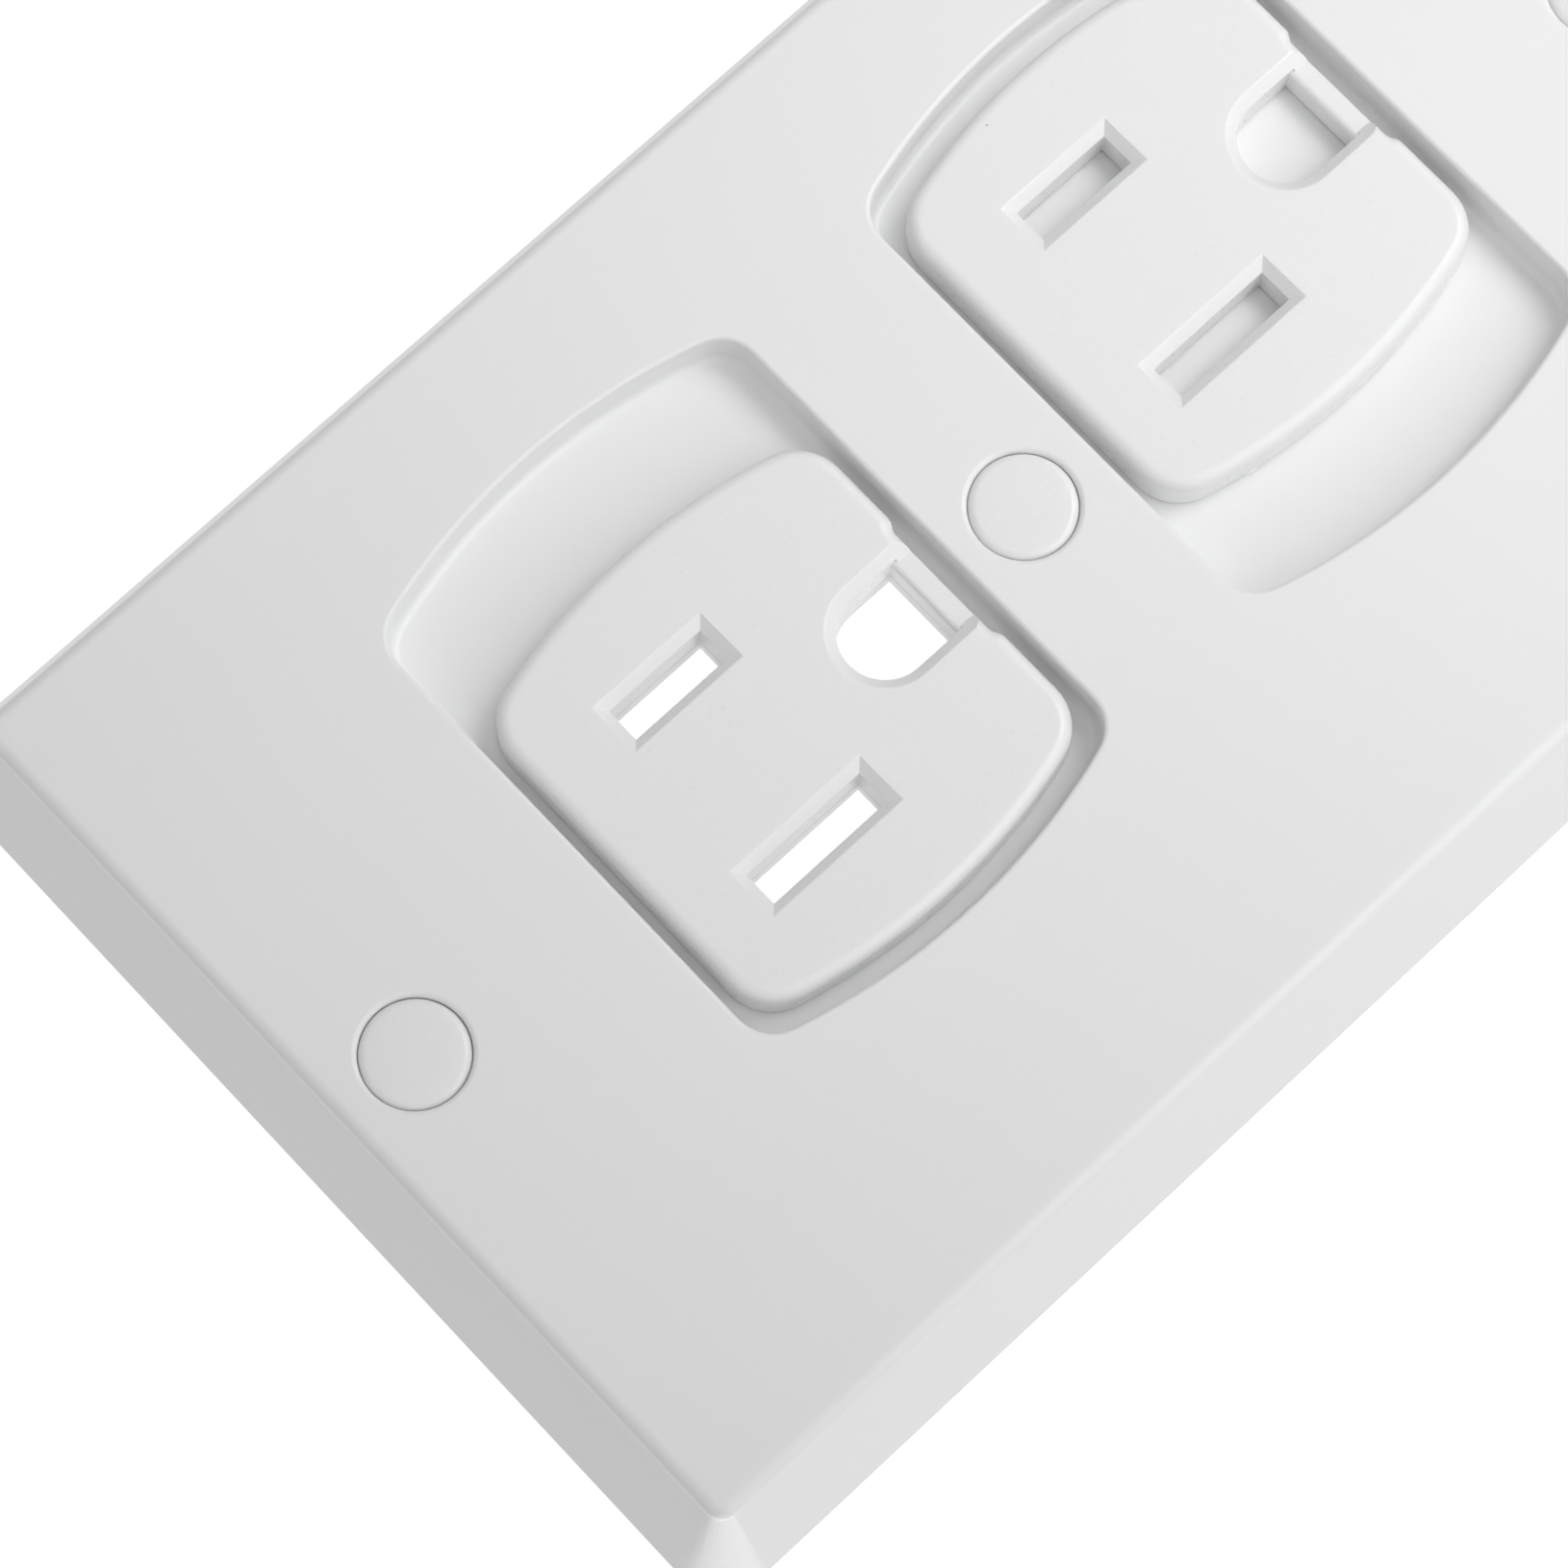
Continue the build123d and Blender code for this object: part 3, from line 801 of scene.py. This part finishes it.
    def floor_openings(self, unit: Unit) -> list[bpy.types.Object]:
        """Blade slots, ground hole and guide slots in the floor of a recess."""
        length = SIZES.stem + SIZES.stroke + 2 * self.guide_gap
        guide = rectangle(length, SIZES.stem + 2 * self.guide_gap)
        outlines = [*SIZES.floor_blades(), SIZES.ground()]
        outlines += [guide.moved(x + SIZES.stroke / 2, z) for x, z in SIZES.stems]
        ease, front, back = self.slot_ease, SIZES.floor_front, SIZES.floor_back
        rows = [
            (ease, self.face_wall, 0),
            (ease, front, 0),
            (0, front, ease),
            (0, back, ease),
            (ease, back, 0),
            (ease, back + CUT, 0),
        ]
        section = profile(rows, 3)
        return [swept("opening", o.moved(0, unit.z), section) for o in outlines]

    def pocket(self, fixing: Fixing) -> bpy.types.Object:
        """Seat of a cap, pocket of the screw head below it, and the screw's hole."""
        seat = SIZES.cap_radius + SIZES.cap_gap
        head = seat - SIZES.cap_ledge
        rows = [
            (seat + self.seat_round, -CUT, 0),
            (seat + self.seat_round, 0, 0),
            (seat, 0, self.seat_round),
            (seat, SIZES.cap_thickness, 0),
            (head, SIZES.cap_thickness, 0),
            (head, self.head_pocket_depth, 0),
            (self.hole_radius, self.head_pocket_depth, 0),
            (self.hole_radius, SIZES.plate_depth, 0),
        ]
        return swept("pocket", disc().moved(0, fixing.value), profile(rows, 6))

    def build(self) -> bpy.types.Object:
        """Build the plate on its body."""
        plate = combine(self.shell(), self.structure(), Join.ADD)
        spaces = [self.recess(unit) for unit in Unit]
        spaces += [opening for unit in Unit for opening in self.floor_openings(unit)]
        spaces += [self.pocket(fixing) for fixing in Fixing]
        combine(plate, spaces, Join.TAKE)
        smooth(plate)
        dress(plate, PLATE_FINISH, "face_plate")
        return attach(plate, Body.PLATE.value)


@dataclass(frozen=True)
class Shutter:
    """Sliding shutter: funnelled openings in a bowed plate, cored from behind, on two stems."""

    unit: Unit
    width: float = 28.0
    height: float = 26.2
    bow: float = 40.5
    corner: float = 3.4
    thickness: float = 2.9
    edge_round: float = 0.85
    skin: float = 1.5
    rim: float = 1.3
    collar: float = 0.9
    funnel: float = 0.68
    funnel_ease: float = 0.24
    channel_depth: float = 0.9
    channel_flare: float = 0.9
    notch_depth: float = 0.38
    notch_round: float = 0.9
    notch_flat: float = 3.9
    foot_round: float = 0.4
    back_ease: float = 0.12
    pilot_radius: float = 0.5

    def place(self, outline: Outline) -> Outline:
        """Move an outline from the open unit's centre to this shutter at rest."""
        return outline.moved(self.unit.shift, self.unit.z)

    def notch(self) -> list[tuple[Array, Array]]:
        """Middle of the lower edge, set back between two S-shaped steps, from left to right.

        Two arcs of radius r that turn by t rise by 2 * r * (1 - cos t) over a length of 2 * r * sin t.
        """
        r, low = self.notch_round, -self.height / 2
        turn = math.acos(1 - self.notch_depth / (2 * r))
        far = self.notch_flat + 2 * r * math.sin(turn)
        high, angle = low + self.notch_depth, math.degrees(turn)
        steps = [
            (arc((-far, low + r), r, 270, 270 + angle), 0),
            (arc((-self.notch_flat, high - r), r, 90 + angle, 90, hollow=True), 1),
            (arc((self.notch_flat, high - r), r, 90, 90 - angle, hollow=True), 0),
            (arc((far, low + r), r, 270 - angle, 270), 1),
        ]
        return [(points[first:], out[first:]) for (points, out), first in steps]

    def outline(self) -> Outline:
        """Outline of the shutter, with the notch where its channel runs out."""
        whole = bowed(self.width, self.height, self.bow, self.corner)
        return self.place(Outline.of((whole.points, whole.out), *self.notch()))

    def channel(self) -> Outline:
        """U shape around the ground hole that runs out over the lower edge and flares there."""
        r, flare = SIZES.ground_radius + self.funnel, self.channel_flare
        edge = -self.height / 2 - SIZES.ground_z
        turn_x, turn_z = r + flare, edge + flare
        below = edge - 2 * CUT
        shape = Outline.of(
            arc((0, 0), r, 0, 180, 40),
            arc((-turn_x, turn_z), flare, 0, -90, hollow=True),
            corners([(-turn_x, below, 0, 1), (turn_x, below, 0, 1)]),
            arc((turn_x, turn_z), flare, 270, 180, hollow=True),
        )
        return self.place(shape.moved(0, SIZES.ground_z))

    def hole(self) -> Outline:
        """Ground hole; as it grows, only its flat foot moves."""
        shape = SIZES.ground()
        foot = shape.points[:, 1:] < SIZES.ground_z - SIZES.ground_radius / 2
        return self.place(Outline(shape.points, np.where(foot, [[0.0, -1.0]], 0.0)))

    def core(self) -> bpy.types.Object:
        """Space behind the skin, around the collars of the openings."""
        far = self.thickness + CUT
        whole = self.place(bowed(self.width, self.height, self.bow, self.corner))
        space = slab("core", Outline(whole.grown(-self.rim), whole.out), self.skin, far)
        grown = [Outline(o.grown(self.collar), o.out) for o in [*SIZES.blades(), SIZES.ground()]]
        collars = [slab("collar", self.place(o), self.skin - CUT, far + CUT) for o in grown]
        collars.append(slab("collar", self.channel(), self.skin - CUT, far + CUT))
        return combine(space, collars, Join.TAKE)

    def blade_funnels(self) -> list[bpy.types.Object]:
        """Blade slots with sides that open by 45 degrees at the face."""
        lead, ease = self.funnel, self.funnel_ease
        start = lead + tangent(ease, 45)
        rows = [
            (start, -CUT, 0),
            (start, 0, 0),
            (lead, 0, ease),
            (0, lead, ease / 2),
            (0, self.thickness + CUT, 0),
        ]
        section = profile(rows, 4)
        return [swept("blade_funnel", self.place(o), section) for o in SIZES.blades()]

    def ground_funnel(self) -> list[bpy.types.Object]:
        """Channel with 45 degree sides, and the ground hole in it."""
        depth, ease = self.channel_depth, self.funnel_ease
        start = tangent(ease, 45)
        rows = [(start, -CUT, 0), (start, 0, 0), (0, 0, ease), (-depth, depth, 0)]
        channel = swept("channel", self.channel(), profile(rows, 4))
        rows = [
            (self.foot_round, self.funnel / 2, 0),
            (self.foot_round, depth, 0),
            (0, depth, self.foot_round),
            (0, self.thickness + CUT, 0),
        ]
        return [channel, swept("ground_hole", self.hole(), profile(rows))]

    def build(self) -> bpy.types.Object:
        """Build the shutter on its body."""
        rows = [
            (-self.edge_round, 0, 0),
            (0, 0, self.edge_round),
            (0, self.thickness, self.back_ease),
            (-self.rim / 2, self.thickness, 0),
        ]
        name = f"{self.unit.node('shutter')}_moulding"
        body = swept(name, self.outline(), profile(rows, 12))
        combine(body, [self.core()], Join.TAKE)
        stem = rectangle(SIZES.stem, SIZES.stem)
        stems = [
            slab("stem", self.place(stem.moved(x, z)), self.skin / 2, SIZES.keeper_front)
            for x, z in SIZES.stems
        ]
        combine(body, stems, Join.ADD)
        pilot = disc(self.pilot_radius, 24)
        pilots = [
            slab("pilot", self.place(pilot.moved(x, z)), self.skin, SIZES.keeper_front + CUT)
            for x, z in SIZES.stems
        ]
        combine(body, [*self.blade_funnels(), *self.ground_funnel(), *pilots], Join.TAKE)
        smooth(body)
        dress(body, SHUTTER_FINISH, self.unit.node("shutter"))
        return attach(body, self.unit.body.value)


@dataclass(frozen=True)
class ScrewCap:
    """Cap over a fixing hole: a slightly domed disc on a split skirt.

    Attributes:
        fixing: The hole that it covers.
        edge: Rounding of the face's edge.
        end_dome: Drop of the face at the rim of the top and the bottom cap.
        centre_dome: The same of the centre cap.
        dome_power: Power of the radius that the drop follows.
        lip: Height of the wall between the rounding and the collar.
        collar_share: Share of the gap in the seat that the collar fills.
        skirt: Height of the skirt.
        skirt_wall: Thickness of the skirt.
        skirt_gap: Gap between the skirt and the pocket.
        slit: Width of the slits in the skirt.
        centre: Radius at which the face's profile starts.
    """

    fixing: Fixing
    edge: float = 0.5
    end_dome: float = 0.16
    centre_dome: float = 0.06
    dome_power: int = 4
    lip: float = 0.02
    collar_share: float = 0.8
    skirt: float = 1.0
    skirt_wall: float = 0.6
    skirt_gap: float = 0.1
    slit: float = 0.9
    centre: float = 0.2

    def section(self) -> Array:
        """Radius and depth from the middle of the face round the edge to the middle of the back.

        The dome is flat in the middle: its depth at radius r is dome * (r / rim) ** dome_power.
        """
        rim = SIZES.cap_radius
        dome = self.centre_dome if self.fixing is Fixing.CENTRE else self.end_dome
        radius = np.linspace(self.centre, rim - self.edge, 20)
        face = np.stack([radius, dome * (radius / rim) ** self.dome_power], axis=1)
        thickness = SIZES.cap_thickness
        foot = dome + self.edge + self.lip
        collar = rim + self.collar_share * SIZES.cap_gap
        outer = rim + SIZES.cap_gap - SIZES.cap_ledge - self.skirt_gap
        rows = [
            (*face[-1], 0),
            (rim, dome, self.edge),
            (rim, foot, 0),
            (collar, foot, 0),
            (collar, thickness, 0),
            (outer, thickness, 0),
            (outer, thickness + self.skirt, 0),
            (outer - self.skirt_wall, thickness + self.skirt, 0),
            (outer - self.skirt_wall, thickness, 0),
            (self.centre, thickness, 0),
        ]
        return np.concatenate([face[:-1], profile(rows, 5)])

    def build(self) -> bpy.types.Object:
        """Build the cap on the plate's body."""
        name = f"{self.fixing.name.lower()}_screw_cap"
        cap = swept(f"{name}_moulding", disc(steps=128).moved(0, self.fixing.value), self.section())
        start = SIZES.cap_thickness
        long = 2 * SIZES.cap_radius
        bars = [rectangle(long, self.slit), rectangle(self.slit, long)]
        far = start + self.skirt + CUT
        slits = [slab("slit", bar.moved(0, self.fixing.value), start, far) for bar in bars]
        combine(cap, slits, Join.TAKE)
        smooth(cap)
        dress(cap, CAP_FINISH, name)
        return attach(cap, Body.PLATE.value)


@dataclass(frozen=True)
class ReturnSpring:
    """Extension spring from the keeper's pin to the plate's peg."""

    unit: Unit
    wire: float = 0.35
    coil: float = 1.9
    turns: int = 11
    neck: float = 0.55
    bend: float = 0.35
    round_points: int = 14
    turn_points: int = 36

    @property
    def lead(self) -> float:
        """Length from the loop's centre to the first turn."""
        return self.coil / 2 + self.neck

    def hook(self) -> tuple[Array, Array, Array]:
        """Wire from the coil's end at the origin: a bend from Y to X, a neck and three quarters of a loop.

        The bend is b * (1 - cos a, sin a, 0). The loop is centred one radius above the neck's end, and its
        points are centre + r * (sin c, 0, -cos c).

        Returns:
            Points, directions of the wire, and one side direction for each point.
        """
        b, r = self.bend, self.coil / 2
        a = np.linspace(0, np.pi / 2, 7)[:, None]
        one, nil = np.ones_like(a), np.zeros_like(a)
        bent = b * np.hstack([1 - np.cos(a), np.sin(a), nil])
        bent_dir = np.hstack([np.sin(a), np.cos(a), nil])
        bent_side = np.hstack([nil, nil, one])
        c = np.linspace(0, 1.5 * np.pi, 31)[:, None]
        one, nil = np.ones_like(c), np.zeros_like(c)
        loop = np.hstack([self.lead + r * np.sin(c), b * one, r - r * np.cos(c)])
        loop_dir = np.hstack([np.cos(c), nil, np.sin(c)])
        loop_side = np.hstack([-np.sin(c), nil, np.cos(c)])
        return (
            np.vstack([bent, loop]),
            np.vstack([bent_dir, loop_dir]),
            np.vstack([bent_side, loop_side]),
        )

    def wire_path(self) -> tuple[Array, Array, Array]:
        """Whole wire, from the loop on the pin to the loop on the peg.

        The coil is (lead + h * t, r * sin(2 pi n t), -r * cos(2 pi n t)) for t from 0 to 1, with n turns over
        the length h, and its side direction points to its axis.

        Returns:
            Points, directions of the wire, and one side direction for each point.
        """
        r, length = self.coil / 2, SIZES.peg_reach - self.unit.shift
        body = length - 2 * self.lead
        t = np.linspace(0, 1, self.turns * self.turn_points + 1)
        phase = 2 * np.pi * self.turns * t
        coil = np.stack([self.lead + body * t, r * np.sin(phase), -r * np.cos(phase)], axis=1)
        pitch = body / (2 * np.pi * self.turns)
        way = np.stack([np.full_like(t, pitch), r * np.cos(phase), r * np.sin(phase)], axis=1)
        way /= np.linalg.norm(way, axis=1)[:, None]
        side = np.stack([np.zeros_like(t), -np.sin(phase), np.cos(phase)], axis=1)
        points, heads, sides = self.hook()
        far = points + np.array([self.lead + body, 0, -r])
        near = points * np.array([-1, -1, 1]) + np.array([self.lead, 0, -r])
        near_heads = -heads * np.array([-1, -1, 1])
        return (
            np.vstack([near[::-1], coil[1:-1], far]),
            np.vstack([near_heads[::-1], way[1:-1], heads]),
            np.vstack([sides[::-1] * np.array([-1, -1, 1]), side[1:-1], sides]),
        )

    def build(self) -> bpy.types.Object:
        """Build the spring between the two bodies.

        The tube's vertex at angle a round point p is p + w * (cos a * side + sin a * (way x side)).
        """
        points, way, side = self.wire_path()
        start = np.array([SIZES.leg_offset + self.unit.shift, 0, self.unit.z + SIZES.spring_rise])
        points = points + start + np.array([0, SIZES.spring_depth - SIZES.plate_depth, 0])
        other = np.cross(way, side)
        angle = np.linspace(0, 2 * np.pi, self.round_points, endpoint=False)[None, :, None]
        ring = np.cos(angle) * side[:, None] + np.sin(angle) * other[:, None]
        name = self.unit.node("return_spring")
        spring = ringed(f"{name}_wire", points[:, None] + self.wire / 2 * ring, turned=True)
        spring.data.shade_smooth()
        spring.data.set_sharp_from_angle(angle=WIRE_SHARP_ANGLE)
        dress(spring, SPRING_FINISH, name)
        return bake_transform(spring)


@dataclass(frozen=True)
class Keeper:
    """Keeper behind a floor with its two screws; the CAD nodes stay in view."""

    unit: Unit

    def build(self) -> None:
        """Dress the keeper and its screws."""
        dress_node(self.unit.node("keeper"), KEEPER_FINISH)
        dress_node(self.unit.node("keeper_screws"), SCREW_FINISH)


@dataclass(frozen=True)
class Lamp:
    """Rectangular soft box that faces a point, in metres, with a grid that narrows its beam, in degrees."""

    name: str
    place: tuple[float, float, float]
    size: tuple[float, float]
    power: float
    aim: tuple[float, float, float] = (0.0, 0.0, 0.0)
    beam: float = 180.0

    def build(self) -> None:
        """Put the lamp into the scene."""
        light = bpy.data.lights.new(self.name, "AREA")
        light.shape = "RECTANGLE"
        light.size, light.size_y = self.size
        light.energy = self.power
        light.spread = math.radians(self.beam)
        lamp = bpy.data.objects.new(self.name, light)
        lamp.location = self.place
        lamp.visible_camera = False
        lamp.rotation_euler = (Vector(self.aim) - Vector(self.place)).to_track_quat("-Z", "Y").to_euler()
        bpy.context.scene.collection.objects.link(lamp)


@dataclass(frozen=True)
class Camera:
    """Camera of the picture, in metres and degrees, with its lens and sensor in millimetres."""

    place: tuple[float, float, float] = (-0.06557, -0.33424, 0.08426)
    turn: tuple[float, float, float] = (-74.305, 46.849, -179.356)
    lens: float = 132.86
    sensor: float = 36.0
    near: float = 0.01
    far: float = 50.0

    def build(self) -> None:
        """Put the camera into the scene and make it the one in use."""
        data = bpy.data.cameras.new("picture_camera")
        data.lens = self.lens
        data.sensor_width = self.sensor
        data.clip_start, data.clip_end = self.near, self.far
        camera = bpy.data.objects.new("picture_camera", data)
        camera.location = self.place
        camera.rotation_euler = [math.radians(angle) for angle in self.turn]
        bpy.context.scene.collection.objects.link(camera)
        bpy.context.scene.camera = camera


@dataclass(frozen=True)
class Studio:
    """Pale floor, white background, soft lamps and the camera."""

    floor_drop: float = 0.4
    floor_reach: float = 12.0
    floor_tone: float = 0.8
    floor_roughness: float = 0.9
    floor_glow: float = 0.72
    ambient: float = 0.42
    lamps: tuple[Lamp, ...] = field(
        default=(
            Lamp("key_box", (-0.03, -0.22, -0.18), (0.18, 0.18), 0.043, (0.012, 0.0, -0.045), 50.0),
            Lamp("cheek_box", (-0.15, -0.2, -0.12), (0.24, 0.24), 0.035, (0.04, 0.0, -0.05), 50.0),
            Lamp("front_box", (-0.08, -0.42, 0.06), (0.3, 0.3), 0.09),
            Lamp("side_box", (-0.6, -0.22, -0.12), (0.5, 0.5), 0.5),
            Lamp("low_box", (0.05, -0.25, 0.6), (0.5, 0.5), 0.2),
            Lamp("back_box", (-0.4, 0.45, 0.3), (0.6, 0.6), 1.5),
        )
    )

    def shown_rays(self, bench: NodeBench) -> bpy.types.NodeSocket:
        """Mask that is 1 for rays that show the background: straight, mirrored or through glass."""
        path = bench.add("ShaderNodeLightPath")
        mirrored = bench.maths("MAXIMUM", path.outputs["Is Glossy Ray"], path.outputs["Is Transmission Ray"])
        return bench.maths("MAXIMUM", path.outputs["Is Camera Ray"], mirrored)

    def world(self) -> None:
        """Even soft light, with a white background where it is seen."""
        world = bpy.data.worlds.new("studio")
        world.use_nodes = True
        bpy.context.scene.world = world
        bench = NodeBench(world.node_tree)
        background = world.node_tree.nodes["Background"]
        background.inputs["Color"].default_value = (1.0, 1.0, 1.0, 1.0)
        shown = self.shown_rays(bench)
        share = bench.maths("MULTIPLY", shown, 1.0 - self.ambient)
        bench.link(bench.maths("ADD", share, self.ambient), background.inputs["Strength"])

    def floor(self) -> None:
        """Level floor under the plate, white to the eye but darker where a shadow falls."""
        level = CAD_BOX[0].z - self.floor_drop
        reach = self.floor_reach
        mesh = bpy.data.meshes.new("floor")
        side = np.array([[-1, -1], [1, -1], [1, 1], [-1, 1]], float) * reach
        mesh.from_pydata(np.column_stack([side, np.full(4, level)]), [], [[0, 1, 2, 3]])
        floor = bpy.data.objects.new("floor", mesh)
        bpy.context.scene.collection.objects.link(floor)
        material = bpy.data.materials.new("floor_white")
        material.use_nodes = True
        bench = NodeBench(material.node_tree)
        shader = material.node_tree.nodes["Principled BSDF"]
        tone = self.floor_tone
        bench.value(shader, Base_Color=(tone, tone, tone, 1.0), Roughness=self.floor_roughness)
        shader.inputs["Emission Color"].default_value = (1.0, 1.0, 1.0, 1.0)
        glow = bench.maths("MULTIPLY", self.shown_rays(bench), self.floor_glow)
        bench.link(glow, shader.inputs["Emission Strength"])
        mesh.materials.append(material)

    def build(self) -> None:
        """Put everything in place."""
        bpy.context.scene.view_settings.view_transform = "Standard"
        self.world()
        self.floor()
        for lamp in self.lamps:
            lamp.build()
        Camera().build()


def main() -> None:
    """Build the cover piece by piece, then the studio."""
    logging.basicConfig(level=logging.INFO)
    builders = [FacePlate()]
    builders += [Shutter(unit) for unit in Unit]
    builders += [Keeper(unit) for unit in Unit]
    builders += [ReturnSpring(unit) for unit in Unit]
    builders += [ScrewCap(fixing) for fixing in Fixing]
    for builder in builders:
        piece = builder.build()
        if piece is not None:
            log.info("built %s, %d faces", piece.name, len(piece.data.polygons))
    Studio().build()


if __name__ == "__main__":
    main()
